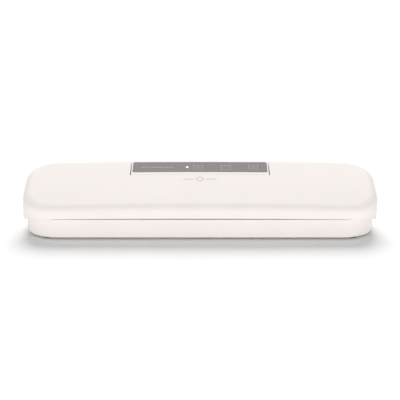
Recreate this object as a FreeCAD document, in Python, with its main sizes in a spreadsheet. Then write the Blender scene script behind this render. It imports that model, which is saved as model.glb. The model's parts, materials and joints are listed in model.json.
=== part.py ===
import FreeCAD, Part
import math
import operator
import os
from types import SimpleNamespace

import Sketcher
from FreeCAD import Placement, Rotation, Vector

# A slim countertop vacuum sealer. +X is its right, +Y its rear and +Z up; the origin is on the
# table under the middle of its box. Millimetres.
SIZES = {
    # outer form: a wedge with a crowned top, which the lid and the console are both cut from
    "body_width": 377.6,
    "body_depth": 90.0,
    "form_floor": 12.0,
    "front_height": 36.0,
    "rear_height": 66.6,
    "top_radius": 600.0,
    "crown_radius": 6000.0,
    "front_corner": 34.0,
    "rear_corner": 30.0,
    "top_edge": 10.0,
    "wall": 2.2,
    # base
    "foot_height": 2.2,
    "foot_radius": 6.0,
    "base_side_inset": 4.2,
    "base_end_inset": 0.5,
    "base_corner": 35.0,
    "base_rear_corner": 27.0,
    "base_edge": 1.5,
    "front_rim": 22.2,
    "rear_rim": 32.0,
    "deck_top": 21.0,
    "deck_wall": 2.4,
    "riser_foot": 4.0,
    "riser_run": 4.0,
    # seam between the lid and the base
    "seam_height": 22.7,
    "seam_arch": 18000.0,
    "skirt_height": 15.6,
    "dip_start": 160.0,
    "dip_end": 188.0,
    "rear_seam": 34.6,
    # hinge
    "hinge_y": 39.0,
    "hinge_z": 44.0,
    "pin_radius": 2.0,
    "knuckle_radius": 3.4,
    "tower_near": 90.0,
    "tower_width": 12.0,
    "arm_width": 6.5,
    "running_gap": 0.05,
    "side_gap": 0.5,
    "fit_gap": 0.1,
    # console
    "console_half": 74.6,
    "console_front": 11.6,
    "console_gap": 1.1,
    "panel_half": 73.2,
    "panel_depth": 21.3,
    "panel_middle": 23.8,
    "panel_thick": 1.6,
    "panel_sink": 0.5,
    "panel_corner": 2.0,
    "key_width": 16.0,
    "key_depth": 16.0,
    "key_gap": 0.15,
    "key_pitch": 30.2,
    "key_first": -2.2,
    "key_travel": 0.5,
    "light_x": -13.9,
    "light_radius": 1.1,
    # vacuum chamber and heat seal
    "trough_half": 148.0,
    "trough_front": -24.0,
    "trough_rear": -11.0,
    "trough_floor": 14.0,
    "trough_wall": 2.0,
    "gasket_half": 163.0,
    "gasket_front": -32.5,
    "gasket_rear": -4.0,
    "gasket_width": 5.0,
    "gasket_corner": 7.0,
    "groove_depth": 1.6,
    "gasket_rise": 2.0,
    "gasket_gap": 0.4,
    "heater_half": 150.0,
    "heater_y": -37.0,
    "heater_width": 4.8,
    "liner_under": 24.6,
    "liner_thick": 2.4,
    # latches
    "latch_y": -4.0,
    "latch_travel": 3.0,
    "button_half": 6.6,
    "button_low": 8.0,
    "button_top": 15.0,
    "window_gap": 0.3,
    "arm_half": 4.0,
    "arm_thick": 3.2,
    "nose_low": 16.6,
    "nose_high": 18.2,
    "hook_x": 174.0,
    "hook_thick": 2.4,
    # inlet
    "inlet_x": 140.0,
    "inlet_z": 11.8,
    "slot_half": 8.4,
    "slot_radius": 4.2,
    "contact_pitch": 8.6,
    # pump and boards
    "pump_x": -89.0,
    "pump_y": 22.0,
    "pump_z": 17.4,
    "motor_radius": 11.0,
    "motor_length": 31.0,
    "pump_length": 24.0,
    "hose_radius": 2.5,
    "hose_bore": 1.5,
    "screw_radius": 1.45,
    "screw_head": 3.1,
}

OPERATIONS = {"+": operator.add, "-": operator.sub, "*": operator.mul, "/": operator.truediv}


class Size:
    """A length that carries both its number and its sheet expression."""

    def __init__(self, value, text):
        self.value = float(value)
        self.text = text

    def __add__(self, other):
        return combine(self, "+", other)

    def __radd__(self, other):
        return combine(other, "+", self)

    def __sub__(self, other):
        return combine(self, "-", other)

    def __rsub__(self, other):
        return combine(other, "-", self)

    def __mul__(self, other):
        return combine(self, "*", other)

    def __rmul__(self, other):
        return combine(other, "*", self)

    def __truediv__(self, other):
        return combine(self, "/", other)

    def __neg__(self):
        return combine(0, "-", self)


def as_size(item):
    if isinstance(item, Size):
        return item
    return Size(item, "%.9g" % item)


def combine(left, sign, right):
    left = as_size(left)
    right = as_size(right)
    value = OPERATIONS[sign](left.value, right.value)
    return Size(value, "(%s %s %s)" % (left.text, sign, right.text))


def span(first, second):
    """The two ends of a stretch, lowest first."""
    return tuple(sorted((as_size(first), as_size(second)), key=lambda end: end.value))


doc = FreeCAD.newDocument("vacuum_sealer")
sheet = doc.addObject("Spreadsheet::Sheet", "Sizes")
for row, (alias, number) in enumerate(SIZES.items(), 1):
    sheet.set("A%d" % row, alias)
    sheet.set("B%d" % row, "%g" % number)
    sheet.setAlias("B%d" % row, alias)
doc.recompute()
S = SimpleNamespace(**{alias: Size(number, "Sizes." + alias) for alias, number in SIZES.items()})

half_width = S.body_width / 2
front_y = -S.body_depth / 2
rear_y = S.body_depth / 2
base_half = half_width - S.base_side_inset
base_front = front_y + S.base_end_inset
base_rear = rear_y - S.base_end_inset
base_floor = S.foot_height + S.wall
deck_under = S.deck_top - S.deck_wall
deck_half = base_half - S.wall - S.fit_gap
deck_front = base_front + S.wall + S.fit_gap
deck_rear = base_rear - S.wall - S.fit_gap
rear_deck_under = S.rear_rim - S.deck_wall


# ---- shared helpers -------------------------------------------------------------------------

def bind(feature, **sizes):
    for name, size in sizes.items():
        feature.setExpression(name, as_size(size).text)


def place(feature, x, y, z):
    for axis, size in zip("xyz", (x, y, z)):
        feature.setExpression("Placement.Base." + axis, as_size(size).text)


def box(label, across, along, up):
    """A block between three pairs of coordinates."""
    spans = [span(*pair) for pair in (across, along, up)]
    feature = doc.addObject("Part::Box", label)
    lengths = [high - low for low, high in spans]
    bind(feature, Length=lengths[0], Width=lengths[1], Height=lengths[2])
    place(feature, *[low for low, high in spans])
    return feature


TURNS = {
    "x": Rotation(Vector(0, 1, 0), 90),
    "y": Rotation(Vector(1, 0, 0), -90),
    "z": Rotation(),
}


def rod(label, radius, axis, ends, centre):
    """A cylinder along one axis between two ends, centred on its other two coordinates."""
    low, high = span(*ends)
    feature = doc.addObject("Part::Cylinder", label)
    bind(feature, Radius=radius, Height=high - low)
    feature.Placement = Placement(Vector(), TURNS[axis])
    base = list(centre)
    base.insert("xyz".index(axis), low)
    place(feature, *base)
    return feature


def fuse(label, *shapes):
    feature = doc.addObject("Part::MultiFuse", label)
    feature.Shapes = list(shapes)
    return feature


def group(label, *shapes):
    """Several separate solids in one node."""
    feature = doc.addObject("Part::Compound", label)
    feature.Links = list(shapes)
    return feature


def cut(label, base, *tools):
    feature = doc.addObject("Part::Cut", label)
    feature.Base = base
    feature.Tool = tools[0] if len(tools) == 1 else fuse(label + "_tools", *tools)
    return feature


def common(label, base, tool):
    feature = doc.addObject("Part::Common", label)
    feature.Base = base
    feature.Tool = tool
    return feature


def rounded(label, source, radius, test):
    """Rounds the edges of a shape that pass the test."""
    doc.recompute()
    value = as_size(radius).value
    edges = [(i, value, value) for i, edge in enumerate(source.Shape.Edges, 1) if test(edge)]
    feature = doc.addObject("Part::Fillet", label)
    feature.Base = source
    feature.Edges = edges
    return feature


def runs_along(axis, shortest=0.0):
    """A test for straight edges along an axis, longer than a given length."""
    def test(edge):
        lengths = [edge.BoundBox.XLength, edge.BoundBox.YLength, edge.BoundBox.ZLength]
        along = lengths.pop("xyz".index(axis))
        return along > shortest and max(lengths) < 0.01
    return test


def new_body(label):
    return doc.addObject("PartDesign::Body", label)


def new_sketch(body, label, role):
    sketch = body.newObject("Sketcher::SketchObject", label)
    plane = [feature for feature in body.Origin.OriginFeatures if feature.Role == role][0]
    sketch.AttachmentSupport = [(plane, "")]
    sketch.MapMode = "FlatFace"
    return sketch


def pin_down(sketch, kind, axis_line, geo, size):
    """Fixes one coordinate of a side's first point."""
    if abs(size.value) < 1e-9:
        sketch.addConstraint(Sketcher.Constraint("PointOnObject", geo[0], geo[1], axis_line))
        return
    number = sketch.addConstraint(
        Sketcher.Constraint(kind, -1, 1, geo[0], geo[1], size.value))
    sketch.setExpression("Constraints[%d]" % number, size.text)


def outline(sketch, points, arcs=None):
    """A closed anticlockwise loop. arcs gives a side's radius, positive where it bulges outwards."""
    arcs = arcs or {}
    points = [(as_size(a), as_size(b)) for a, b in points]
    corners = [Vector(a.value, b.value, 0) for a, b in points]
    sides = []
    for i, start in enumerate(corners):
        end = corners[(i + 1) % len(corners)]
        if i not in arcs:
            geo = sketch.addGeometry(Part.LineSegment(start, end))
            sides.append(((geo, 1), (geo, 2)))
            continue
        radius = as_size(arcs[i])
        outward = radius.value > 0
        chord = end - start
        inward = Vector(-chord.y, chord.x, 0).normalize() * (1 if outward else -1)
        rise = math.sqrt(radius.value ** 2 - (chord.Length / 2) ** 2)
        middle = (start + end) * 0.5 + inward * rise
        circle = Part.Circle(middle, Vector(0, 0, 1), abs(radius.value))
        first, last = (start, end) if outward else (end, start)
        turn = [math.atan2(p.y - middle.y, p.x - middle.x) for p in (first, last)]
        geo = sketch.addGeometry(Part.ArcOfCircle(circle, turn[0], turn[1]))
        sides.append(((geo, 1), (geo, 2)) if outward else ((geo, 2), (geo, 1)))
        length = radius if outward else -radius
        number = sketch.addConstraint(Sketcher.Constraint("Radius", geo, length.value))
        sketch.setExpression("Constraints[%d]" % number, length.text)
    for i, side in enumerate(sides):
        after = sides[(i + 1) % len(sides)]
        sketch.addConstraint(Sketcher.Constraint("Coincident", *side[1], *after[0]))
    for side, (a, b) in zip(sides, points):
        pin_down(sketch, "DistanceX", -2, side[0], a)
        pin_down(sketch, "DistanceY", -1, side[0], b)


def rounded_rectangle(sketch, x_low, y_low, x_high, y_high, front_radius, rear_radius=None):
    rear_radius = rear_radius or front_radius
    outline(sketch, [
        (x_low + front_radius, y_low),
        (x_high - front_radius, y_low),
        (x_high, y_low + front_radius),
        (x_high, y_high - rear_radius),
        (x_high - rear_radius, y_high),
        (x_low + rear_radius, y_high),
        (x_low, y_high - rear_radius),
        (x_low, y_low + front_radius),
    ], {1: front_radius, 3: rear_radius, 5: rear_radius, 7: front_radius})


def pad(body, label, sketch, low, high):
    """Raises a plan sketch between two heights."""
    sketch.setExpression("AttachmentOffset.Base.z", as_size(low).text)
    feature = body.newObject("PartDesign::Pad", label)
    feature.Profile = sketch
    bind(feature, Length=as_size(high) - low)
    doc.recompute()
    return feature


def pocket(body, label, sketch, length=None):
    """Cuts a sketch both ways from its plane, right through or over a whole length."""
    before = body.Shape.Volume
    feature = body.newObject("PartDesign::Pocket", label)
    feature.Profile = sketch
    feature.Midplane = True
    if length is None:
        feature.Type = "ThroughAll"
    else:
        bind(feature, Length=length)
    doc.recompute()
    if not feature.Shape.Volume < before - 0.01:
        raise ValueError(label + " cuts nothing")
    return feature


def fillet(body, label, radius, test):
    base = body.Tip
    edges = ["Edge%d" % i for i, edge in enumerate(base.Shape.Edges, 1) if test(edge)]
    feature = body.newObject("PartDesign::Fillet", label)
    feature.Base = (base, edges)
    bind(feature, Radius=radius)
    doc.recompute()
    return feature


def tube(label, points, bends, radius, bore=0.0):
    """A round tube or cord along straight runs with a tangent arc at each inner point."""
    edges = []
    last = points[0]
    for before, corner, after, bend in zip(points, points[1:], points[2:], bends):
        into = (before - corner).normalize()
        out = (after - corner).normalize()
        half_angle = into.getAngle(out) / 2
        reach = bend / math.tan(half_angle)
        start = corner + into * reach
        end = corner + out * reach
        bisector = (into + out).normalize()
        middle = corner + bisector * (bend / math.sin(half_angle) - bend)
        edges.append(Part.makeLine(last, start))
        edges.append(Part.Arc(start, middle, end).toShape())
        last = end
    edges.append(Part.makeLine(last, points[-1]))
    path = Part.Wire(edges)
    direction = (points[1] - points[0]).normalize()
    shapes = []
    for size in (radius, bore):
        if size:
            ring = Part.Wire(Part.makeCircle(size, points[0], direction))
            shapes.append(path.makePipeShell([ring], True, False))
    shape = shapes[0].cut(shapes[1]) if bore else shapes[0]
    feature = doc.addObject("Part::Feature", label)
    feature.Shape = shape
    return feature


def screws(label, places, head, tip, head_length=1.3, radius=None, head_radius=None):
    """Pan-head screws on upright axes, from under their heads to their tips."""
    radius = radius or S.screw_radius
    head_radius = head_radius or S.screw_head
    towards = 1 if as_size(tip).value > as_size(head).value else -1
    solids = []
    for x, y in places:
        cap = rod("head", head_radius, "z", (head - head_length * towards, head), (x, y))
        shank = rod("shank", radius, "z", (head, tip), (x, y))
        socket = rod("socket", 0.9, "z",
                     (head - head_length * towards, head - 0.4 * towards), (x, y))
        solids.append(cut("screw", fuse("blank", cap, shank), socket))
    return group(label, *solids)


# ---- outer form -----------------------------------------------------------------------------

def form(label, inset):
    """The closed outer wedge, or the hollow inside it when inset by the wall."""
    body = new_body(label)
    profile = new_sketch(body, label + "_profile", "YZ_Plane")
    outline(profile, [
        (front_y + inset, S.form_floor - 3),
        (rear_y - inset, S.form_floor - 3),
        (rear_y - inset, S.rear_height - inset),
        (front_y + inset, S.front_height - inset),
    ], {2: S.top_radius})
    axis = profile.addGeometry(
        Part.LineSegment(Vector(-50, -S.crown_radius.value, 0), Vector(50, -S.crown_radius.value, 0)),
        True)
    profile.addConstraint(Sketcher.Constraint("Horizontal", axis))
    pin_down(profile, "DistanceX", -2, (axis, 1), as_size(-50))
    pin_down(profile, "DistanceY", -1, (axis, 1), -S.crown_radius)
    profile.addConstraint(Sketcher.Constraint("DistanceX", axis, 1, axis, 2, 100))
    doc.recompute()
    sweep = body.newObject("PartDesign::Revolution", label + "_crown")
    sweep.Profile = profile
    sweep.ReferenceAxis = (profile, ["Axis0"])
    bind(sweep, Angle=(S.body_width + 40) / S.crown_radius * (180 / math.pi))
    sweep.Midplane = True
    doc.recompute()
    plan = new_sketch(body, label + "_plan", "XY_Plane")
    front_corner = S.front_corner - inset
    rear_corner = S.rear_corner - inset
    rounded_rectangle(plan, -half_width + inset, front_y + inset, half_width - inset, rear_y - inset,
                      front_corner, rear_corner)
    outline(plan, [(-S.body_width, -S.body_depth), (S.body_width, -S.body_depth),
                   (S.body_width, S.body_depth), (-S.body_width, S.body_depth)])
    doc.recompute()
    pocket(body, label + "_trim", plan)
    upper = S.form_floor.value + 10
    fillet(body, label + "_edge", S.top_edge - inset,
           lambda edge: edge.BoundBox.ZMin > upper)
    return body


outer = form("outer_form", as_size(0))
inner = form("inner_form", S.wall)


# ---- base -----------------------------------------------------------------------------------

def s_curve(low, high, start, end):
    """Two equal arcs that lead smoothly from one height to another: middle point and radius."""
    run = end - start
    rise = high - low
    radius = (run * run + rise * rise) / (4 * rise)
    return ((start + end) / 2, (low + high) / 2), radius


RISE_START = as_size(-8)
RISE_END = as_size(34)
FRONT_POSTS = [(-112.0, -35.0), (0.0, -35.0), (112.0, -35.0)]
REAR_POSTS = [(-118.0, 35.0), (0.0, 35.0), (118.0, 35.0)]
POST_RADIUS = 3.6
VENTS = SimpleNamespace(count=9, nearest=40, pitch=5, width=2, front=6, rear=30)
SCREW_RECESS = 1.4
SPRING_SEAT = 154.0
BUTTON_ROOT = 181.0
BOARD_LOW = 6.0
BOARD_THICK = 1.6
BOARD_EDGE = 5.0
BOARD = SimpleNamespace(left=22.0, right=102.0, front=-30.0, rear=1.0)
BOARD_HOLES = [(x, y) for x in (BOARD.left + BOARD_EDGE, BOARD.right - BOARD_EDGE)
               for y in (BOARD.front + BOARD_EDGE, BOARD.rear - BOARD_EDGE)]


def base_tray():
    body = new_body("tray_form")
    plan = new_sketch(body, "tray_plan", "XY_Plane")
    rounded_rectangle(plan, -base_half, base_front, base_half, base_rear, S.base_corner,
                      S.base_rear_corner)
    pad(body, "tray_block", plan, S.foot_height, S.rear_rim)
    bottom = S.foot_height.value + 0.1
    fillet(body, "tray_bottom_edge", S.base_edge, lambda edge: edge.BoundBox.ZMax < bottom)
    rim = new_sketch(body, "tray_rim", "YZ_Plane")
    middle, radius = s_curve(S.front_rim, S.rear_rim, RISE_START, RISE_END)
    outline(rim, [
        (-S.body_depth, S.front_rim),
        (RISE_START, S.front_rim),
        middle,
        (RISE_END, S.rear_rim),
        (RISE_END, S.rear_height),
        (-S.body_depth, S.rear_height),
    ], {1: radius, 2: -radius})
    doc.recompute()
    pocket(body, "tray_rim_cut", rim)
    hollow = new_body("tray_hollow")
    plan = new_sketch(hollow, "hollow_plan", "XY_Plane")
    rounded_rectangle(plan, -base_half + S.wall, base_front + S.wall, base_half - S.wall,
                      base_rear - S.wall, S.base_corner - S.wall, S.base_rear_corner - S.wall)
    pad(hollow, "hollow_block", plan, base_floor, S.rear_rim + 5)
    openings = []
    for side in (-1, 1):
        reach = S.button_half + S.window_gap
        openings.append(box("button_window", (side * (base_half - 5), side * (base_half + 5)),
                            (S.latch_y - reach, S.latch_y + reach),
                            (S.button_low - S.window_gap, S.button_top + S.window_gap)))
    openings.append(box("inlet_window", (S.inlet_x - 12, S.inlet_x + 12),
                        (base_rear - 5, base_rear + 5), (S.inlet_z - 6.2, S.inlet_z + 6.2)))
    for x, y in FRONT_POSTS + REAR_POSTS:
        openings.append(rod("screw_hole", 1.8, "z", (0, 10), (x, y)))
        openings.append(rod("screw_recess", S.screw_head + 0.3, "z", (0, S.foot_height + SCREW_RECESS),
                            (x, y)))
    for i in range(VENTS.count):
        for side in (-1, 1):
            x = side * (VENTS.nearest + VENTS.pitch * i)
            openings.append(box("vent", (x, x + VENTS.width), (VENTS.front, VENTS.rear), (0, 10)))
    shell = cut("tray_shell", body, hollow, *openings)
    ribs = []
    for side in (-1, 1):
        ribs.append(box("latch_rail", (side * (SPRING_SEAT + 10), side * BUTTON_ROOT),
                        (S.latch_y - S.arm_half - 1, S.latch_y + S.arm_half + 1),
                        (base_floor, S.button_low - S.window_gap)))
        ribs.append(box("spring_stop", (side * (SPRING_SEAT - 2), side * SPRING_SEAT),
                        (S.latch_y - S.arm_half - 1, S.latch_y + S.arm_half + 1),
                        (base_floor, S.button_top)))
    for spot in BOARD_HOLES:
        ribs.append(rod("board_boss", 3, "z", (base_floor, BOARD_LOW), spot))
    return fuse("base_tray", shell, *ribs)


def gasket_ring(label, low, high, grow=0.0):
    """A closed racetrack band around the vacuum chamber."""
    body = new_body(label)
    plan = new_sketch(body, label + "_plan", "XY_Plane")
    for step in (0.0, 1.0):
        inset = S.gasket_width * step - grow * (1 - 2 * step)
        rounded_rectangle(plan, -S.gasket_half + inset, S.gasket_front + inset,
                          S.gasket_half - inset, S.gasket_rear - inset, S.gasket_corner - inset)
    pad(body, label + "_band", plan, low, high)
    return body


def work_deck():
    body = new_body("deck_form")
    plan = new_sketch(body, "deck_plan", "XY_Plane")
    rounded_rectangle(plan, -deck_half, deck_front, deck_half, deck_rear,
                      S.base_corner - S.wall - S.fit_gap,
                      S.base_rear_corner - S.wall - S.fit_gap)
    pad(body, "deck_block", plan, deck_under, S.rear_rim)
    above = new_sketch(body, "deck_above", "YZ_Plane")
    outline(above, [
        (-S.body_depth, S.deck_top),
        (S.riser_foot, S.deck_top),
        (S.riser_foot + S.riser_run, S.rear_rim),
        (S.riser_foot + S.riser_run, S.rear_rim + 20),
        (-S.body_depth, S.rear_rim + 20),
    ])
    doc.recompute()
    pocket(body, "deck_step", above)
    below = new_sketch(body, "deck_below", "YZ_Plane")
    outline(below, [
        (S.riser_foot + S.deck_wall, S.foot_height),
        (deck_rear - S.wall, S.foot_height),
        (deck_rear - S.wall, rear_deck_under),
        (S.riser_foot + S.riser_run + 1.6, rear_deck_under),
        (S.riser_foot + S.deck_wall, deck_under),
    ])
    doc.recompute()
    pocket(body, "deck_underside", below, (deck_half - S.wall) * 2)
    towers = []
    for side in (-1, 1):
        across = (side * S.tower_near, side * (S.tower_near + S.tower_width))
        towers.append(box("tower", across,
                          (S.hinge_y - S.knuckle_radius, S.hinge_y + S.knuckle_radius),
                          (S.rear_rim, S.hinge_z)))
        towers.append(rod("knuckle", S.knuckle_radius, "x", across, (S.hinge_y, S.hinge_z)))
    solid = fuse("deck_solid", body, *towers)
    cuts = [box("trough_window", *trough_outside(5))]
    cuts.append(gasket_ring("gasket_groove", S.deck_top - S.groove_depth, S.deck_top + 5, 0.05))
    cuts.append(box("heater_channel", (-S.heater_half - 4.8, S.heater_half + 4.8),
                    (S.heater_y - 2.5, S.heater_y + 2.5), (S.deck_top - S.groove_depth, S.deck_top + 5)))
    for side in (-1, 1):
        cuts.append(box("hook_slot", (side * (S.hook_x - 3), side * (S.hook_x + S.hook_thick + 2)),
                        (S.latch_y - 10.5, S.latch_y + 5), (10, 30)))
    cuts.append(rod("pin_bores", S.pin_radius, "x", (-115, 115), (S.hinge_y, S.hinge_z)))
    cuts.append(box("console_wiring", (-12, 12), (20, 34), (25, 40)))
    return cut("work_deck", solid, *cuts)


HOSE_START = Vector(-132, -7.5, 15.9)
PUMP_PORT = Vector(-113, 15, 15.9)


def trough_outside(above=0.0):
    return ((-S.trough_half - S.trough_wall, S.trough_half + S.trough_wall),
            (S.trough_front - S.trough_wall, S.trough_rear + S.trough_wall),
            (S.trough_floor - S.trough_wall, S.deck_top + above))


def vacuum_trough():
    """The tub of the vacuum chamber, a floor and four walls, with the suction nozzle behind it."""
    (left, right), (front, rear), (low, high) = trough_outside()
    centre = (HOSE_START.x, HOSE_START.z)
    bore = rod("suction_bore", 0.9, "y", (S.trough_rear - 1, HOSE_START.y + 4), centre)
    nozzle = rod("nozzle", S.hose_bore, "y", (rear - 1, HOSE_START.y + 3), centre)
    rear_wall = box("tub_rear", (left, right), (S.trough_rear, rear), (S.trough_floor, high))
    walls = [
        box("tub_floor", (left, right), (front, rear), (low, S.trough_floor)),
        box("tub_front", (left, right), (front, S.trough_front), (S.trough_floor, high)),
        cut("tub_back", fuse("tub_back_blank", rear_wall, nozzle), bore),
    ]
    for side in (-1, 1):
        walls.append(box("tub_end", (side * S.trough_half, side * (S.trough_half + S.trough_wall)),
                         (S.trough_front, S.trough_rear), (S.trough_floor, high)))
    group("vacuum_trough", *walls)


def screw_posts():
    """Spacers between the tray and the deck, which the base screws pull together."""
    posts = []
    for places, top in ((FRONT_POSTS, deck_under), (REAR_POSTS, rear_deck_under)):
        for spot in places:
            post = rod("post", POST_RADIUS, "z", (base_floor, top), spot)
            bore = rod("post_bore", S.screw_radius, "z", (0, 16), spot)
            posts.append(cut("screw_post", post, bore))
    group("screw_posts", *posts)


base_tray()
work_deck()
vacuum_trough()
screw_posts()


def feet():
    pads = []
    for x in (-160, 160):
        for y in (-32, 32):
            pads.append(rod("foot", S.foot_radius, "z", (0, S.foot_height), (x, y)))
    return group("rubber_feet", *pads)


feet()
screws("base_screws", FRONT_POSTS + REAR_POSTS, S.foot_height + SCREW_RECESS, 14.5)


# ---- vacuum chamber and heat seal -----------------------------------------------------------

gasket_ring("lower_gasket", S.deck_top - S.groove_depth, S.deck_top + S.gasket_rise)
heater_floor = S.deck_top - S.groove_depth
heater_top = S.deck_top + 1.0
strip_thick = 0.2
box("heater_bar", (-S.heater_half, S.heater_half),
    (S.heater_y - S.heater_width / 2, S.heater_y + S.heater_width / 2), (heater_floor, heater_top))
box("heater_strip", (-S.heater_half, S.heater_half), (S.heater_y - 1.5, S.heater_y + 1.5),
    (heater_top, heater_top + strip_thick))
cut("release_tape",
    box("tape_blank", (-S.heater_half + 1, S.heater_half - 1), (S.heater_y - 2.5, S.heater_y + 2.5),
        (heater_top, heater_top + strip_thick * 2)),
    box("tape_recess", (-S.heater_half - 5, S.heater_half + 5), (S.heater_y - 1.5, S.heater_y + 1.5),
        (heater_top - 1, heater_top + strip_thick)))
group("heater_clamps", *[
    box("clamp", (side * (S.heater_half + 0.3), side * (S.heater_half + 4.5)),
        (S.heater_y - 2.2, S.heater_y + 2.2), (heater_floor, heater_top + strip_thick))
    for side in (-1, 1)])


# ---- pump, valve and boards -----------------------------------------------------------------

def pump():
    motor = rod("can", S.motor_radius, "x", (S.pump_x, S.pump_x + S.motor_length), (S.pump_y, S.pump_z))
    boss = rod("boss", 4, "x", (S.pump_x + S.motor_length, S.pump_x + S.motor_length + 2),
               (S.pump_y, S.pump_z))
    fuse("pump_motor", motor, boss)
    head = rounded("head_block", box("head_blank", (S.pump_x - S.pump_length, S.pump_x),
                                     (S.pump_y - 12, S.pump_y + 12), (S.pump_z - 11.6, S.pump_z + 11.4)),
                   3, runs_along("x"))
    port = rod("port", S.hose_bore, "x", (PUMP_PORT.x - 5, PUMP_PORT.x + 2), (PUMP_PORT.y, PUMP_PORT.z))
    fuse("pump_head", head, port)
    cut("motor_saddle",
        box("saddle_block", (S.pump_x + 4, S.pump_x + 27), (S.pump_y - 9, S.pump_y + 9), (base_floor, 12)),
        rod("saddle_bed", S.motor_radius, "x", (S.pump_x, S.pump_x + 30), (S.pump_y, S.pump_z)))
    box("pump_pad", (S.pump_x - 21, S.pump_x - 3), (S.pump_y - 9, S.pump_y + 9),
        (base_floor, S.pump_z - 11.6))


def valve():
    block = box("valve_block", (-172, -152), (12, 28), (base_floor, 15))
    coil = rod("valve_coil", 6, "z", (15, 26), (-162, 20))
    fuse("release_valve", block, coil)


pump()
valve()
tube("vacuum_hose",
     [HOSE_START, Vector(HOSE_START.x, PUMP_PORT.y, PUMP_PORT.z), PUMP_PORT - Vector(0.5, 0, 0)],
     [12.0], S.hose_radius.value, S.hose_bore.value)


def power_supply():
    top = BOARD_LOW + BOARD_THICK
    plate = box("board_plate", (BOARD.left, BOARD.right), (BOARD.front, BOARD.rear), (BOARD_LOW, top))
    cut("power_board", plate,
        *[rod("board_hole", 1.5, "z", (0, top + 1), spot) for spot in BOARD_HOLES])
    chips = [
        box("relay", (30, 49), (-24, -9), (top, 11.6)),
        box("bridge", (54, 64), (-20, -8), (top, 10.5)),
        box("fuse_holder", (70, 92), (-24, -19), (top, 11.4)),
        rod("capacitor", 4, "x", (70, 86), (-4, top + 4)),
    ]
    group("board_parts", *chips)
    box("transformer_core", (56, 100), (12, 36), (base_floor, 26))
    cut("transformer_winding",
        rounded("winding_block", box("winding_blank", (63, 93), (8.8, 39.2), (7, 23)), 3, runs_along("z")),
        box("core_space", (50, 110), (12, 36), (0, 40)))


power_supply()


SLOT_DEPTH = 15.0
PIN_RADIUS = 1.2


def inlet():
    """A two-pin figure-of-eight mains inlet in the rear wall."""
    shell = box("inlet_block", (S.inlet_x - 11.6, S.inlet_x + 11.6), (base_rear - 19, base_rear - 0.3),
                (S.inlet_z - 5.9, S.inlet_z + 5.9))
    reach = S.slot_half - S.slot_radius
    depth = (base_rear - SLOT_DEPTH, base_rear + 3)
    slot = [box("slot", (S.inlet_x - reach, S.inlet_x + reach), depth,
                (S.inlet_z - S.slot_radius, S.inlet_z + S.slot_radius))]
    for side in (-1, 1):
        slot.append(rod("slot_end", S.slot_radius, "y", depth, (S.inlet_x + side * reach, S.inlet_z)))
    cut("power_inlet", shell, *slot)
    group("inlet_pins", *[
        rod("pin", PIN_RADIUS, "y", (base_rear - SLOT_DEPTH, base_rear - 4),
            (S.inlet_x + side * S.contact_pitch / 2, S.inlet_z))
        for side in (-1, 1)])


inlet()


def lid_switches():
    switches = []
    for side in (-1, 1):
        case = box("switch_case", (side * 165, side * 177), (-19.8, -14.0), (base_floor, 12.2))
        plunger = box("switch_plunger", (side * 169, side * 170.5), (-17.7, -16.1), (12.2, 13.4))
        switches.append(fuse("switch", case, plunger))
    group("lid_switches", *switches)


lid_switches()


# ---- latches --------------------------------------------------------------------------------

SPRING = SimpleNamespace(turns=6, coil_radius=2.4, wire_radius=0.35, axis_height=13.0)
BUTTON_PROUD = 0.15
TOE = 1.8
NOSE_GAP = 0.3


def latch(name, side):
    """A release button with its arm under the lid hook and its nose beside the hook's toe."""
    near = S.hook_x - 8
    button = rounded(name + "_cap",
                     box("button", (side * (BUTTON_ROOT - 1), side * (base_half + BUTTON_PROUD)),
                         (S.latch_y - S.button_half, S.latch_y + S.button_half),
                         (S.button_low, S.button_top)),
                     1.5, runs_along("x"))
    width = (S.latch_y - S.arm_half, S.latch_y + S.arm_half)
    arm = box("arm", (side * near, side * BUTTON_ROOT), width, (S.button_low, S.button_low + 3))
    upright = box("upright", (side * near, side * (near + S.arm_thick)), width,
                  (S.button_low, S.nose_high))
    nose = box("nose", (side * near, side * (S.hook_x - TOE - NOSE_GAP)), width,
               (S.nose_low, S.nose_high))
    fuse("latch_" + name, button, arm, upright, nose)
    coil = SPRING.coil_radius
    wire = SPRING.wire_radius
    length = near.value - SPRING_SEAT - 2 * wire
    helix = Part.makeHelix(length / SPRING.turns, length, coil)
    ring = Part.Wire(Part.makeCircle(wire, Vector(coil, 0, 0), Vector(0, 1, 0)))
    spring = doc.addObject("Part::Feature", "latch_spring_" + name)
    spring.Shape = Part.Wire(helix).makePipeShell([ring], True, True)
    spring.Placement = Placement(
        Vector(side * (SPRING_SEAT + wire), S.latch_y.value, SPRING.axis_height),
        Rotation(Vector(0, 1, 0), 90 * side))


latch("left", -1)
latch("right", 1)


# ---- lid ------------------------------------------------------------------------------------

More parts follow.
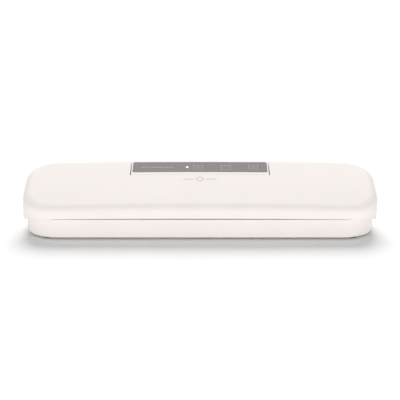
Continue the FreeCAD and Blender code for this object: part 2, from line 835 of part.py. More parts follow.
def lid_cover():
    shell = cut("lid_shell", outer, inner)
    arms = []
    for side in (-1, 1):
        inside = S.tower_near - S.side_gap
        outside = S.tower_near + S.tower_width + S.side_gap
        for across in ((side * (inside - S.arm_width), side * inside),
                       (side * outside, side * (outside + S.arm_width))):
            arms.append(box("arm_web", across, (S.hinge_y - S.knuckle_radius, rear_y - 0.5),
                            (S.hinge_z, S.rear_height)))
            arms.append(rod("arm_ring", S.knuckle_radius, "x", across, (S.hinge_y, S.hinge_z)))
    posts = [rod("lid_post", 3.4, "z", (S.liner_under + S.liner_thick, S.rear_height), spot)
             for spot in LID_POSTS]
    cheeks = []
    for side in (-1, 1):
        edge = S.console_half + S.console_gap
        cheeks.append(box("cheek", (side * edge, side * (edge + S.wall)), (S.console_front - 1, rear_y),
                          (S.rear_seam, S.rear_height)))
    inside = common("lid_inside", outer, fuse("lid_ribs", *arms, *posts, *cheeks))
    solid = fuse("lid_solid", shell, inside)
    cuts = [front_seam_cut(), side_seam_cut(), console_notch(S.console_gap)]
    for side in (-1, 1):
        cuts.append(box("tower_notch", (side * (S.tower_near - S.side_gap),
                                        side * (S.tower_near + S.tower_width + S.side_gap)),
                        (S.hinge_y - 6, rear_y + 5), (S.form_floor, S.hinge_z + S.knuckle_radius + 0.4)))
    cuts.append(rod("arm_bores", S.pin_radius + S.running_gap, "x", (-115, 115), (S.hinge_y, S.hinge_z)))
    for spot in LID_POSTS:
        cuts.append(rod("lid_bore", S.screw_radius, "z", (0, LID_SCREW_TIP), spot))
    return cut("lid_cover", solid, *cuts)


LID_POSTS = [(x, y) for x in (-150.0, -50.0, 50.0, 150.0) for y in (-17.5, 0.0)]
LID_SCREW_TIP = 34.0


def front_seam_cut():
    """Clears the lid's front edge, arched a little, with a skirt that dips at each end."""
    body = new_body("front_seam_cut")
    sketch = new_sketch(body, "front_seam", "XZ_Plane")
    run = S.dip_end - S.dip_start
    drop = S.seam_height - S.skirt_height
    dip = (run * run + drop * drop) / (2 * drop)
    outline(sketch, [
        (-half_width - 10, 0),
        (half_width + 10, 0),
        (half_width + 10, S.skirt_height),
        (S.dip_end, S.skirt_height),
        (S.dip_start, S.seam_height),
        (-S.dip_start, S.seam_height),
        (-S.dip_end, S.skirt_height),
        (-half_width - 10, S.skirt_height),
    ], {3: dip, 4: S.seam_arch, 5: dip})
    doc.recompute()
    block = body.newObject("PartDesign::Pad", "front_seam_block")
    block.Profile = sketch
    block.Midplane = True
    bind(block, Length=S.body_depth * 2)
    doc.recompute()
    return body


def side_seam_cut():
    """Clears the lid's side edge, which climbs to the hinge at the rear."""
    body = new_body("side_seam_cut")
    sketch = new_sketch(body, "side_seam", "YZ_Plane")
    middle, radius = s_curve(S.skirt_height, S.rear_seam, RISE_START, RISE_END)
    outline(sketch, [
        (-S.body_depth, 0),
        (S.body_depth, 0),
        (S.body_depth, S.rear_seam),
        (RISE_END, S.rear_seam),
        middle,
        (RISE_START, S.skirt_height),
        (-S.body_depth, S.skirt_height),
    ], {3: radius, 4: -radius})
    doc.recompute()
    block = body.newObject("PartDesign::Pad", "side_seam_block")
    block.Profile = sketch
    block.Midplane = True
    bind(block, Length=S.body_width * 2)
    doc.recompute()
    return body


def console_notch(gap):
    """The space between the lid's cheeks. Its front face leans back, along the lid's first travel."""
    body = new_body("console_space")
    sketch = new_sketch(body, "console_side", "YZ_Plane")
    top = S.rear_height + 5
    lean = 0.52
    brow = S.rear_height - 6.5
    knee = S.rear_height - 14
    front = S.console_front - gap * 0.6
    knee_y = front - (brow - knee) * lean
    outline(sketch, [
        (knee_y, S.rear_rim),
        (rear_y + 10, S.rear_rim),
        (rear_y + 10, top),
        (front + (top - brow) * lean, top),
        (knee_y, knee),
    ])
    doc.recompute()
    block = body.newObject("PartDesign::Pad", "console_block_%g" % (gap.value * 10))
    block.Profile = sketch
    block.Midplane = True
    bind(block, Length=(S.console_half + gap) * 2)
    doc.recompute()
    return body


lid_cover()


def lid_liner():
    low, high = S.liner_under, S.liner_under + S.liner_thick
    upright = runs_along("z")
    blank = box("liner_blank", (-half_width + 6, half_width - 6),
                (front_y + S.wall + 0.1, S.riser_foot - 0.8), (low, high))
    plate = rounded("liner_plate", blank, S.front_corner - 4,
                    lambda edge: upright(edge) and edge.BoundBox.YMax < 0)
    cuts = [gasket_ring("liner_groove", low - 3, low + 1.2, 0.05)]
    cuts.append(box("strip_channel", (-S.heater_half - 3, S.heater_half + 3),
                    (S.heater_y - 2.5, S.heater_y + 2.5), (low - 3, low + 1.2)))
    chamber = rounded("chamber_roof", box("roof_cut", (-S.trough_half, S.trough_half),
                                          (S.trough_front, S.trough_rear), (low - 3, low + 1.4)),
                      4, runs_along("z"))
    cuts.append(chamber)
    for x, y in LID_POSTS:
        cuts.append(rod("liner_hole", 1.7, "z", (low - 5, high + 5), (x, y)))
    hooks = []
    for side in (-1, 1):
        plate_x = (side * S.hook_x, side * (S.hook_x + S.hook_thick))
        hooks.append(box("hook", plate_x, (S.latch_y - 3, S.latch_y + 3), (13, low + 1)))
        hooks.append(box("toe", (side * (S.hook_x - TOE), side * (S.hook_x + 1)),
                         (S.latch_y - 3, S.latch_y + 3), (13, 16)))
    return cut("lid_liner", fuse("liner_solid", plate, *hooks), *cuts)


lid_liner()
gasket_ring("upper_gasket", S.deck_top + S.gasket_rise + S.gasket_gap, S.liner_under + 1.2)
box("pressure_strip", (-S.heater_half - 2, S.heater_half + 2),
    (S.heater_y - S.heater_width / 2, S.heater_y + S.heater_width / 2),
    (heater_top + strip_thick * 2 + 0.5, S.liner_under + 1.2))
screws("lid_screws", LID_POSTS, S.liner_under, LID_SCREW_TIP - 0.5, 0.9, head_radius=2.6)
group("hinge_pins", *[
    rod("hinge_pin", S.pin_radius, "x",
        (side * (S.tower_near - S.side_gap - S.arm_width + 0.3),
         side * (S.tower_near + S.tower_width + S.side_gap + S.arm_width - 0.3)),
        (S.hinge_y, S.hinge_z))
    for side in (-1, 1)])


# ---- console --------------------------------------------------------------------------------

def surface_height(y):
    """Height of the top surface on the centre line, and its slope in degrees."""
    run = S.body_depth.value
    rise = S.rear_height.value - S.front_height.value
    half_chord = math.hypot(run, rise) / 2
    slope = math.atan2(rise, run)
    radius = S.top_radius.value
    depth = math.sqrt(radius ** 2 - half_chord ** 2)
    centre_y = depth * math.sin(slope)
    centre_z = (S.front_height.value + S.rear_height.value) / 2 - depth * math.cos(slope)
    turn = math.asin((y - centre_y) / radius)
    return centre_z + radius * math.cos(turn), -math.degrees(turn)


panel_height, panel_slope = surface_height(S.panel_middle.value)
PANEL = Placement(Vector(0, S.panel_middle.value, panel_height - S.panel_sink.value),
                  Rotation(Vector(1, 0, 0), panel_slope))
KEYS = ["start", "seal", "mode"]
KEY_X = [S.key_first + S.key_pitch * i for i in range(len(KEYS))]
BOARD_DROP = 7.6
STEM_GAP = 4.4


def on_panel(feature):
    """Leans a piece that was drawn flat, with the panel's upper face at height 0."""
    doc.recompute()
    flat = feature.Placement
    for axis in "xyz":
        feature.setExpression("Placement.Base." + axis, None)
    feature.Placement = PANEL.multiply(flat)
    return feature


def panel_plate(label, grow, low, high):
    plate = box(label + "_blank", (-S.panel_half - grow, S.panel_half + grow),
                (-S.panel_depth / 2 - grow, S.panel_depth / 2 + grow), (low, high))
    return rounded(label, plate, S.panel_corner, runs_along("z"))


def console_frame():
    block = common("console_block", outer, console_notch(as_size(0)))
    recess = on_panel(panel_plate("panel_recess", 0.1, -S.panel_thick, 10))
    hollow = common("console_hollow", inner, console_notch(-S.wall))
    shelf = on_panel(box("shelf", (-S.console_half, S.console_half), (-25, 25), (-S.panel_thick - 2, 10)))
    cavity = cut("console_cavity", hollow, shelf)
    holes = [recess, cavity]
    for x in KEY_X:
        holes.append(on_panel(rod("stem_hole", 2.2, "z", (-10, 5), (x, 0))))
    holes.append(on_panel(rod("light_hole", S.light_radius, "z", (-10, 5), (S.light_x, 0))))
    return cut("console_frame", block, *holes)


console_frame()


def key(name, x):
    across = (x - S.key_width / 2, x + S.key_width / 2)
    cap = rounded(name + "_cap", box("key_blank", across, (-S.key_depth / 2, S.key_depth / 2), (-0.9, 0)),
                  2, runs_along("z"))
    stem = rod("stem", 1.8, "z", (-BOARD_DROP + STEM_GAP, -0.5), (x, 0))
    return on_panel(fuse("key_" + name, cap, stem))


for key_name, key_x in zip(KEYS, KEY_X):
    key(key_name, key_x)


def control_panel():
    plate = panel_plate("panel_plate", 0, -S.panel_thick, 0)
    holes = []
    for x in KEY_X:
        gap = S.key_gap
        across = (x - S.key_width / 2 - gap, x + S.key_width / 2 + gap)
        holes.append(rounded("key_hole", box("key_window", across,
                                             (-S.key_depth / 2 - gap, S.key_depth / 2 + gap), (-5, 5)),
                             2.25, runs_along("z")))
    holes.append(rod("panel_light_hole", S.light_radius, "z", (-5, 5), (S.light_x, 0)))
    return on_panel(cut("control_panel", plate, *holes))


control_panel()
on_panel(rod("status_light", S.light_radius, "z", (-BOARD_DROP + BOARD_THICK, 0), (S.light_x, 0)))
on_panel(box("control_board", (-30, 68), (-9, 9), (-BOARD_DROP, -BOARD_DROP + BOARD_THICK)))
switch_top = -BOARD_DROP + STEM_GAP - S.key_travel.value - 0.1
on_panel(group("key_switches", *[
    fuse("tact", box("tact_case", (x - 3, x + 3), (-3, 3), (-BOARD_DROP + BOARD_THICK, switch_top - 0.5)),
         rod("tact_button", 1.6, "z", (switch_top - 0.5, switch_top), (x, 0)))
    for x in KEY_X]))


# ---- check and write ------------------------------------------------------------------------

NODES = [
    "base_tray", "work_deck", "vacuum_trough", "screw_posts", "rubber_feet", "base_screws",
    "lower_gasket", "heater_bar", "heater_strip", "release_tape", "heater_clamps", "pump_motor",
    "pump_head", "motor_saddle", "pump_pad", "release_valve", "vacuum_hose", "power_board",
    "board_parts", "transformer_core", "transformer_winding", "power_inlet", "inlet_pins",
    "lid_switches", "latch_left", "latch_right", "latch_spring_left", "latch_spring_right",
    "lid_cover", "lid_liner", "upper_gasket", "pressure_strip", "lid_screws", "hinge_pins",
    "console_frame", "control_panel", "key_start", "key_seal", "key_mode", "status_light",
    "control_board", "key_switches",
]


def main():
    doc.recompute()
    for feature in doc.Objects:
        if "Invalid" in feature.State or "Error" in feature.State:
            raise RuntimeError("%s failed: %s" % (feature.Label, feature.State))
    os.makedirs("parts", exist_ok=True)
    whole = FreeCAD.BoundBox()
    for label in NODES:
        node = doc.getObjectsByLabel(label)[0]
        shape = node.Shape
        if shape.isNull() or not shape.isValid() or not shape.Solids:
            raise RuntimeError("%s has no valid solid" % label)
        shape.exportStep("parts/%s.step" % label)
        whole.add(shape.optimalBoundingBox(False))
        print("%-22s solids %2d  volume %9.1f mm3" % (label, len(shape.Solids), shape.Volume))
    print("box", [round(value, 2) for value in (whole.XMin, whole.YMin, whole.ZMin,
                                                whole.XMax, whole.YMax, whole.ZMax)])


main()
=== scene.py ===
import json
import math

import bpy
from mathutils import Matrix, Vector
from mathutils.bvhtree import BVHTree


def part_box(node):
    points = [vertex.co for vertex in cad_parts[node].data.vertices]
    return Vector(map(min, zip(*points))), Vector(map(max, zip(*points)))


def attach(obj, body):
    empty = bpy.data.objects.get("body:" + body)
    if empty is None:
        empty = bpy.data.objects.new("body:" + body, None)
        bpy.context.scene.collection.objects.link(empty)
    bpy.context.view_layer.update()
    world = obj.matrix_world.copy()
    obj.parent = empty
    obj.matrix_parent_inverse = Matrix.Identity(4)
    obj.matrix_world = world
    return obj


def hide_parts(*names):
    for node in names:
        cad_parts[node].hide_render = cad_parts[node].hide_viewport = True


MM = 0.001
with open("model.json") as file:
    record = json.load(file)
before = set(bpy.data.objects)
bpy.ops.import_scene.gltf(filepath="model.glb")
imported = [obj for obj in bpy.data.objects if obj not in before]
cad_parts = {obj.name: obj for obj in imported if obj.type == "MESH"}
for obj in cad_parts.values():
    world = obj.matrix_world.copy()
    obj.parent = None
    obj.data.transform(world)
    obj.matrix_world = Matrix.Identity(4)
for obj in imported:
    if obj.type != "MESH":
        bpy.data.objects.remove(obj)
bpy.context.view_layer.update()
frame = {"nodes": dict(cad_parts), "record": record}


# ---- materials ------------------------------------------------------------------------------

def linear(red, green, blue):
    """An sRGB colour given as 0 to 255, as the linear values that shaders use."""
    out = []
    for level in (red, green, blue):
        share = level / 255
        out.append(share / 12.92 if share <= 0.04045 else ((share + 0.055) / 1.055) ** 2.4)
    return (*out, 1.0)


def shade(colour, factor):
    return tuple(level * factor for level in colour[:3]) + (1.0,)


# the middle stretch of a noise's output, where most of its values lie
NOISE_LOW = 0.35
NOISE_HIGH = 0.65


class Material:
    """A principled material with helpers for the node patterns that every surface here uses."""

    def __init__(self, name):
        self.data = bpy.data.materials.new(name)
        self.data.use_nodes = True
        self.tree = self.data.node_tree
        self.shader = self.tree.nodes["Principled BSDF"]
        self.place = self.tree.nodes.new("ShaderNodeTexCoord").outputs["Object"]
        self.height = None

    def set(self, **values):
        for name, value in values.items():
            self.shader.inputs[name.replace("_", " ")].default_value = value

    def link(self, source, target):
        self.tree.links.new(source, target)

    def noise(self, size_mm, detail, stretch=None):
        """Noise whose blobs are about size_mm across, stretched along the axes if asked."""
        node = self.tree.nodes.new("ShaderNodeTexNoise")
        node.inputs["Scale"].default_value = 1 / (size_mm * MM)
        node.inputs["Detail"].default_value = detail
        node.inputs["Roughness"].default_value = 0.5
        place = self.place
        if stretch:
            mapping = self.tree.nodes.new("ShaderNodeMapping")
            mapping.inputs["Scale"].default_value = stretch
            self.link(place, mapping.inputs["Vector"])
            place = mapping.outputs["Vector"]
        self.link(place, node.inputs["Vector"])
        return node.outputs["Fac"]

    def wave(self, pitch_mm, axis):
        """Even bands across an axis, one to each pitch."""
        node = self.tree.nodes.new("ShaderNodeTexWave")
        node.wave_type = "BANDS"
        node.bands_direction = axis
        node.inputs["Scale"].default_value = math.pi / 10 / (pitch_mm * MM)
        node.inputs["Distortion"].default_value = 0
        self.link(self.place, node.inputs["Vector"])
        return node.outputs["Fac"]

    def colour(self, fac, low, high, first=NOISE_LOW, last=NOISE_HIGH):
        """Base colour that drifts between two colours with the pattern."""
        node = self.tree.nodes.new("ShaderNodeValToRGB")
        node.color_ramp.elements[0].position = first
        node.color_ramp.elements[1].position = last
        node.color_ramp.elements[0].color = low
        node.color_ramp.elements[1].color = high
        self.link(fac, node.inputs["Fac"])
        self.link(node.outputs["Color"], self.shader.inputs["Base Color"])

    def roughness(self, fac, low, high):
        """Roughness that drifts between two values with the pattern."""
        node = self.tree.nodes.new("ShaderNodeMapRange")
        node.inputs["From Min"].default_value = NOISE_LOW
        node.inputs["From Max"].default_value = NOISE_HIGH
        node.inputs["To Min"].default_value = low
        node.inputs["To Max"].default_value = high
        self.link(fac, node.inputs["Value"])
        self.link(node.outputs["Result"], self.shader.inputs["Roughness"])

    def bump(self, fac, depth_mm, strength=1.0):
        node = self.tree.nodes.new("ShaderNodeBump")
        node.inputs["Strength"].default_value = strength
        node.inputs["Distance"].default_value = depth_mm * MM
        self.link(fac, node.inputs["Height"])
        if self.height:
            self.link(self.height, node.inputs["Normal"])
        self.height = node.outputs["Normal"]
        self.link(self.height, self.shader.inputs["Normal"])


def moulded(name, colour, gloss=0.35, grain_mm=0.5, grain_depth=0.004, drift=0.02):
    """Moulded plastic: a fine spark-eroded grain, faint flow marks and slightly uneven gloss."""
    mat = Material(name)
    mat.colour(mat.noise(38, 3), shade(colour, 1 - drift), colour)
    mat.roughness(mat.noise(9, 4), gloss - 0.025, gloss + 0.025)
    mat.bump(mat.noise(24, 1), 0.02, 0.25)
    mat.bump(mat.noise(grain_mm, 2), grain_depth)
    mat.set(IOR=1.5)
    return mat.data


def metal(name, colour, gloss=0.3, brushed=None, drift=0.12):
    mat = Material(name)
    streaks = mat.noise(1.2, 3, stretch=brushed or (1, 1, 1))
    mat.colour(streaks, shade(colour, 1 - drift), colour)
    mat.roughness(streaks, gloss - 0.06, gloss + 0.08)
    mat.bump(streaks, 0.004)
    mat.set(Metallic=1.0)
    return mat.data


def rubber(name, colour, gloss=0.7, pore_mm=0.6, depth=0.02):
    mat = Material(name)
    mat.colour(mat.noise(6, 4), shade(colour, 0.85), colour)
    mat.roughness(mat.noise(3, 3), gloss - 0.06, gloss + 0.06)
    mat.bump(mat.noise(pore_mm, 3), depth)
    mat.set(IOR=1.5)
    return mat.data


def woven(name, colour, pitch_mm=0.9):
    """Non-stick tape: a coated glass weave."""
    mat = Material(name)
    warp = mat.wave(pitch_mm, "X")
    weft = mat.wave(pitch_mm, "Y")
    weave = mat.tree.nodes.new("ShaderNodeMath")
    weave.operation = "MULTIPLY"
    mat.link(warp, weave.inputs[0])
    mat.link(weft, weave.inputs[1])
    mat.colour(weave.outputs[0], shade(colour, 0.7), colour, 0.1, 0.8)
    mat.roughness(mat.noise(5, 2), 0.4, 0.5)
    mat.bump(weave.outputs[0], 0.03)
    return mat.data


WHITE = linear(245, 238, 234)
DECK_WHITE = linear(236, 233, 229)
PANEL_GREY = linear(141, 134, 137)
PRINT_GREY = linear(181, 176, 178)
MARK_GREY = linear(205, 201, 198)

white_shell = moulded("white_shell", WHITE, gloss=0.34, drift=0.012)
SLOT_MATERIALS = {
    "white_shell": white_shell,
    "white_deck": moulded("white_deck", DECK_WHITE, gloss=0.5, grain_depth=0.007),
    "black_rubber": rubber("black_rubber", linear(38, 38, 39)),
    "zinc_steel": metal("zinc_steel", (0.62, 0.62, 0.63, 1)),
    "gasket_foam": rubber("gasket_foam", linear(46, 46, 48), gloss=0.85, pore_mm=0.5, depth=0.08),
    "heater_insulator": moulded("heater_insulator", linear(70, 66, 60), gloss=0.6),
    "nichrome": metal("nichrome", (0.45, 0.43, 0.40, 1), brushed=(0.05, 1, 1)),
    "release_tape": woven("release_tape", linear(128, 96, 62)),
    "brass_clamp": metal("brass_clamp", (0.72, 0.53, 0.25, 1)),
    "motor_steel": metal("motor_steel", (0.6, 0.6, 0.61, 1), brushed=(0.08, 1, 1)),
    "black_plastic": moulded("black_plastic", linear(36, 36, 38), gloss=0.45, grain_depth=0.01),
    "silicone": rubber("silicone", linear(176, 174, 170), gloss=0.45, depth=0.01),
    "circuit_board": moulded("circuit_board", linear(28, 92, 52), gloss=0.3, drift=0.2),
    "core_steel": metal("core_steel", (0.2, 0.2, 0.21, 1), gloss=0.5, brushed=(1, 0.1, 0.1)),
    "winding_tape": moulded("winding_tape", linear(206, 156, 60), gloss=0.3, drift=0.15),
    "plated_pin": metal("plated_pin", (0.75, 0.74, 0.72, 1), gloss=0.2),
    "spring_steel": metal("spring_steel", (0.55, 0.55, 0.56, 1), gloss=0.25),
    "grey_panel": moulded("grey_panel", PANEL_GREY, gloss=0.42, grain_mm=0.3, grain_depth=0.003),
    "light_pipe": moulded("light_pipe", linear(250, 250, 250), gloss=0.2, drift=0.01),
}


def dress(node, material):
    slots = frame["nodes"][node].material_slots
    for slot in slots:
        slot.material = material


for entry in frame["record"]["subparts"]:
    dress(entry["node"], SLOT_MATERIALS[entry["material_slot"]])


# ---- shapes ---------------------------------------------------------------------------------

def piece(name, body, material, verts, faces, smooth=True):
    """A mesh in millimetres, in the row frame, that rides on a body."""
    mesh = bpy.data.meshes.new(name)
    mesh.from_pydata([Vector(vert) * MM for vert in verts], [], faces)
    mesh.update()
    mesh.polygons.foreach_set("use_smooth", [smooth] * len(mesh.polygons))
    mesh.materials.append(material)
    obj = bpy.data.objects.new(name, mesh)
    bpy.context.scene.collection.objects.link(obj)
    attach(obj, body)
    return obj


def box_mm(node):
    low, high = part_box(node)
    return low / MM, high / MM


def face_of(node, up):
    """Maps flat positions onto a node's outermost face towards up: u right, v back, h outwards."""
    points = [vertex.co / MM for vertex in frame["nodes"][node].data.vertices]
    height = max(up.dot(point) for point in points)
    face = [point for point in points if up.dot(point) > height - 0.05]
    low = Vector([min(point[i] for point in face) for i in range(3)])
    high = Vector([max(point[i] for point in face) for i in range(3)])
    centre = (low + high) / 2
    right = Vector((1, 0, 0)) if abs(up.x) < 0.9 else Vector((0, 1, 0))
    back = up.cross(right)
    return lambda u, v, h: centre + right * u + back * v + up * h


def slope_of(node):
    """The direction that most of a node's upper side faces."""
    up = Vector()
    for polygon in frame["nodes"][node].data.polygons:
        if polygon.normal.z > 0.5:
            up += polygon.normal * polygon.area
    return up.normalized()


def draped_on(node, x, y):
    """Maps flat positions around a point onto a node's upper surface, straight down from above."""
    mesh = frame["nodes"][node].data
    tree = BVHTree.FromPolygons([vertex.co for vertex in mesh.vertices],
                                [polygon.vertices[:] for polygon in mesh.polygons])

    def lay(u, v, h):
        hit, normal, _, _ = tree.ray_cast(Vector((x + u, y + v, 200)) * MM, Vector((0, 0, -1)))
        return hit / MM + normal * h
    return lay


def bend(corners, radius, closed=False, steps=6):
    """A line through the corners, with each one rounded off."""
    corners = [Vector(corner) for corner in corners]
    out = []
    count = len(corners)
    for i, corner in enumerate(corners):
        if not closed and i in (0, count - 1):
            out.append(corner)
            continue
        start = corner + (corners[i - 1] - corner).normalized() * radius
        end = corner + (corners[(i + 1) % count] - corner).normalized() * radius
        for step in range(steps + 1):
            t = step / steps
            out.append(start * (1 - t) ** 2 + corner * (2 * t * (1 - t)) + end * t ** 2)
    return out


def circle(radius, centre=(0, 0), steps=28):
    middle = Vector(centre)
    angles = [2 * math.pi * i / steps for i in range(steps)]
    return [middle + Vector((math.cos(angle), math.sin(angle))) * radius for angle in angles]


class Strokes:
    """Raised lines of one width, laid on a surface, with round ends."""

    def __init__(self, lay, width, top=0.05, sunk=0.04):
        self.lay = lay
        self.width = width
        self.levels = (-sunk, top, top, -sunk)
        self.verts = []
        self.faces = []

    def line(self, points, closed=False):
        points = [Vector(point) for point in points]
        half = self.width / 2
        stations = []
        count = len(points)
        for i, point in enumerate(points):
            before = points[i - 1] if i or closed else point
            after = points[(i + 1) % count] if i < count - 1 or closed else point
            along = (after - before).normalized()
            stations.append((point, along, half))
        if not closed:
            stations = (self.round_end(stations[0], -1)
                        + stations
                        + self.round_end(stations[-1], 1)[::-1])
        base = len(self.verts)
        for point, along, reach in stations:
            across = Vector((-along.y, along.x)) * reach
            for side, level in zip((1, 1, -1, -1), self.levels):
                spot = point + across * side
                self.verts.append(self.lay(spot.x, spot.y, level))
        rows = len(stations)
        for i in range(rows if closed else rows - 1):
            a = base + 4 * i
            b = base + 4 * ((i + 1) % rows)
            for k in range(3):
                self.faces.append((a + k, b + k, b + k + 1, a + k + 1))

    def round_end(self, station, sign):
        """Stations past an end of the line, from the outermost to the widest."""
        point, along, half = station
        turns = [math.radians(angle) for angle in (85, 60, 35, 15)]
        return [(point + along * (sign * half * math.sin(turn)), along, half * math.cos(turn))
                for turn in turns]

    def build(self, name, body, material):
        return piece(name, body, material, self.verts, self.faces, smooth=False)


def swept_ring(name, body, material, path, profile):
    """A closed band: path is in plan, and profile is (outward offset, height)."""
    verts = []
    count = len(path)
    for i, point in enumerate(path):
        along = (path[(i + 1) % count] - path[i - 1]).normalized()
        outward = Vector((along.y, -along.x))
        for offset, height in profile:
            spot = point + outward * offset
            verts.append((spot.x, spot.y, height))
    size = len(profile)
    faces = []
    for i in range(count):
        for k in range(size):
            a, b = i * size, (i + 1) % count * size
            faces.append((a + k, b + k, b + (k + 1) % size, a + (k + 1) % size))
    return piece(name, body, material, verts, faces)


def turned(name, body, material, centre, profile):
    """A shape turned about an upright axis from (radius, height) points, closed at both ends."""
    steps = 48
    verts = []
    for radius, height in profile:
        for i in range(steps):
            angle = 2 * math.pi * i / steps
            verts.append((centre[0] + radius * math.cos(angle),
                          centre[1] + radius * math.sin(angle),
                          height))
    faces = []
    for row in range(len(profile) - 1):
        for i in range(steps):
            a, b = row * steps, row * steps + steps
            j = (i + 1) % steps
            faces.append((a + i, a + j, b + j, b + i))
    faces.append(tuple(reversed(range(steps))))
    faces.append(tuple(range(len(verts) - steps, len(verts))))
    return piece(name, body, material, verts, faces)


# ---- printing and light ---------------------------------------------------------------------

def line_recess():
    """Gives the floor of the panel's recess the panel's grey, so no white shows around the keys."""
    up = slope_of("control_panel")
    panel = frame["nodes"]["control_panel"].data
    floor_level = min(vertex.co.dot(up) for vertex in panel.vertices)
    console = frame["nodes"]["console_frame"].data
    console.materials.append(SLOT_MATERIALS["grey_panel"])
    grey = len(console.materials) - 1
    for polygon in console.polygons:
        level = polygon.center.dot(up) - floor_level
        if polygon.normal.dot(up) > 0.99 and abs(level) < 0.2 * MM:
            polygon.material_index = grey


panel_print = moulded("panel_print", PRINT_GREY, gloss=0.5, drift=0.05)
lid_print = moulded("lid_print", MARK_GREY, gloss=0.4, drift=0.04)
panel_up = slope_of("control_panel")
line_recess()
BAG_HALF = 4.9
BAG_TOP = 6.0
BAG_FOOT = -5.6
BAG_LINE = 3.6


def bag_mark(key):
    """An open bag in outline, the start of each key's mark."""
    marks = Strokes(face_of(key, panel_up), 0.62)
    marks.line(bend([(-BAG_HALF, BAG_TOP), (-BAG_HALF, BAG_FOOT),
                     (BAG_HALF, BAG_FOOT), (BAG_HALF, BAG_TOP)], 1.6))
    return marks


def seal_line(marks, height):
    """A line across the inside of a bag's mouth."""
    reach = BAG_HALF - 1.4
    marks.line([(-reach, height), (reach, height)])


def key_marks():
    start = bag_mark("key_start")
    seal_line(start, BAG_LINE)
    start.line(bend([(-2.2, -2.2), (0, 0.9), (2.2, -2.2)], 0.5))
    start.build("mark_start", "key_start", panel_print)
    seal = bag_mark("key_seal")
    for height in (2.4, 3.9):
        seal_line(seal, height)
    seal.build("mark_seal", "key_seal", panel_print)
    mode = bag_mark("key_mode")
    seal_line(mode, BAG_LINE)
    mode.line(circle(1.7, (0, -1.2), 20), closed=True)
    mode.build("mark_mode", "key_mode", panel_print)


def panel_dashes():
    """A plain row of dashes where the panel's caption would be."""
    dashes = Strokes(face_of("control_panel", panel_up), 1.3)
    start = -63.0
    gap = 1.9
    for length in (4.6, 2.2, 6.0, 3.4, 4.8, 2.4):
        dashes.line([(start, 0), (start + length, 0)])
        start += length + gap
    dashes.build("panel_dashes", "base", panel_print)


def light_up(slot, strength):
    """Makes an indicator glow white."""
    shader = SLOT_MATERIALS[slot].node_tree.nodes["Principled BSDF"]
    shader.inputs["Emission Color"].default_value = (1, 1, 1, 1)
    shader.inputs["Emission Strength"].default_value = strength


def lid_mark():
    """A plain ring between two bars under the panel."""
    mark = Strokes(draped_on("lid_cover", 0, 0.5), 1.0, top=0.09, sunk=0.08)
    mark.line(circle(3.4), closed=True)
    for side in (-1, 1):
        mark.line([(side * (6.5 + step), 0) for step in range(12)])
    mark.build("lid_mark", "lid", lid_print)


key_marks()
panel_dashes()
lid_mark()
light_up("light_pipe", 1.5)


# ---- seals, feet and small parts ------------------------------------------------------------

GASKET_CORNER = 7.0
GASKET_WIDTH = 5.0
GASKET_SLACK = 0.05
FOOT_RADIUS = 6.0


def gasket(node, body, crown_up):
    """Closed-cell foam band with a rounded crown, in place of the CAD's square one."""
    low, high = box_mm(node)
    half_width = GASKET_WIDTH / 2 - GASKET_SLACK
    corner = GASKET_CORNER - half_width
    inset = GASKET_WIDTH / 2
    path = bend([(low.x + inset, low.y + inset), (high.x - inset, low.y + inset),
                 (high.x - inset, high.y - inset), (low.x + inset, high.y - inset)],
                corner, closed=True, steps=10)
    foot, crown = (low.z, high.z) if crown_up else (high.z, low.z)
    shoulder = foot + (crown - foot) * 0.45
    profile = [(-half_width, foot), (-half_width, shoulder)]
    for step in range(1, 10):
        turn = math.pi * step / 10
        profile.append((-half_width * math.cos(turn),
                        shoulder + (crown - shoulder) * math.sin(turn)))
    profile += [(half_width, shoulder), (half_width, foot)]
    if crown_up:
        profile.reverse()
    ring = swept_ring(node + "_foam", body, SLOT_MATERIALS["gasket_foam"], path, profile)
    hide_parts(node)


def feet():
    """Soft feet with a rounded rim and a dished sole."""
    low, high = box_mm("rubber_feet")
    top = high.z
    profile = [(1.0, 0.5), (3.4, 0.45), (4.3, 0.1), (4.6, 0), (5.2, 0), (5.6, 0.12), (5.9, 0.45),
               (FOOT_RADIUS, top * 0.8), (FOOT_RADIUS, top)]
    for x in (low.x + FOOT_RADIUS, high.x - FOOT_RADIUS):
        for y in (low.y + FOOT_RADIUS, high.y - FOOT_RADIUS):
            name = "foot_%s_%s" % ("left" if x < 0 else "right", "front" if y < 0 else "rear")
            foot = turned(name, "base", SLOT_MATERIALS["black_rubber"], (x, y), profile)
    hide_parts("rubber_feet")


def button_grips():
    """Three raised lines on each release button."""
    for side, name in ((-1, "left"), (1, "right")):
        lay = face_of("latch_" + name, Vector((side, 0, 0)))
        grips = Strokes(lay, 0.8, top=0.22)
        for shift in (-2.4, 0, 2.4):
            grips.line([(shift, -1.8), (shift, 1.8)])
        grips.build("button_grip_" + name, "latch_" + name, white_shell)


def blank_plate():
    """A plate with nothing on it, where an underside label goes."""
    lay = face_of("base_tray", Vector((0, 0, -1)))
    outline = bend([(-24, -13), (24, -13), (24, 13), (-24, 13)], 2, closed=True)
    rings = [(outline, -0.02), (outline, 0.12), ([point * 0.985 for point in outline], 0.16)]
    verts = [lay(point.x, point.y + 6, level) for ring, level in rings for point in ring]
    count = len(outline)
    faces = []
    for row in range(2):
        for i in range(count):
            j = (i + 1) % count
            below, above = row * count, (row + 1) * count
            faces.append((below + i, below + j, above + j, above + i))
    faces.append(tuple(range(2 * count, 3 * count)))
    plate = moulded("blank_plate", linear(176, 177, 178), gloss=0.3, drift=0.05)
    piece("blank_plate", "base", plate, verts, faces, smooth=False)


gasket("lower_gasket", "base", crown_up=True)
gasket("upper_gasket", "lid", crown_up=False)
feet()
button_grips()
blank_plate()


# ---- studio ---------------------------------------------------------------------------------

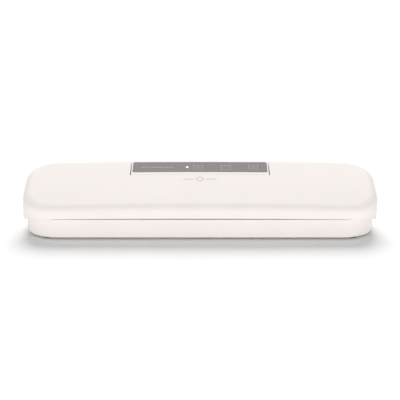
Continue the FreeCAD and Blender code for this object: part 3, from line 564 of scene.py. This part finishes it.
CAMERA_ELEVATION = 17.0
CAMERA_DISTANCE = 1.10
FIELD_OF_VIEW = math.radians(22.2)
TARGET = Vector((0, 0, 0.0301))
SKY_STRENGTH = 0.42
FLOOR_DARK = (0.875, 0.875, 0.875, 1)
FLOOR_LIGHT = (0.89, 0.89, 0.89, 1)


def towards(azimuth, elevation):
    """Unit vector from the object, with azimuth 0 in front of it and 90 on its right."""
    turn, rise = math.radians(azimuth), math.radians(elevation)
    return Vector((math.sin(turn) * math.cos(rise),
                   -math.cos(turn) * math.cos(rise),
                   math.sin(rise)))


def sun(name, azimuth, elevation, strength, angle):
    """A distant soft source, angle degrees across."""
    light = bpy.data.lights.new(name, "SUN")
    light.energy = strength
    light.angle = math.radians(angle)
    source = bpy.data.objects.new(name, light)
    source.rotation_euler = towards(azimuth, elevation).to_track_quat("Z", "Y").to_euler()
    source.location = towards(azimuth, elevation) * 2
    source.visible_glossy = False
    bpy.context.scene.collection.objects.link(source)


def studio():
    bpy.ops.mesh.primitive_plane_add(size=30, location=(0, 0, 0))
    floor = bpy.context.object
    floor.name = "floor"
    finish = Material("floor")
    finish.colour(finish.noise(300, 2), FLOOR_DARK, FLOOR_LIGHT)
    finish.set(Roughness=0.9, Specular_IOR_Level=0.1)
    floor.data.materials.append(finish.data)
    camera = bpy.data.objects.new("camera", bpy.data.cameras.new("camera"))
    bpy.context.scene.collection.objects.link(camera)
    back = towards(0, CAMERA_ELEVATION)
    camera.location = TARGET + back * CAMERA_DISTANCE
    camera.rotation_euler = (-back).to_track_quat("-Z", "Y").to_euler()
    camera.data.angle = FIELD_OF_VIEW
    bpy.context.scene.camera = camera
    world = bpy.data.worlds.new("studio")
    world.use_nodes = True
    sky = world.node_tree.nodes["Background"].inputs
    sky["Color"].default_value = (1, 1, 1, 1)
    sky["Strength"].default_value = SKY_STRENGTH
    bpy.context.scene.world = world
    bpy.context.scene.view_settings.view_transform = "Standard"
    sun("back_light", azimuth=180, elevation=40, strength=3.1, angle=38)
    sun("front_light", azimuth=0, elevation=14, strength=1.6, angle=45)


studio()
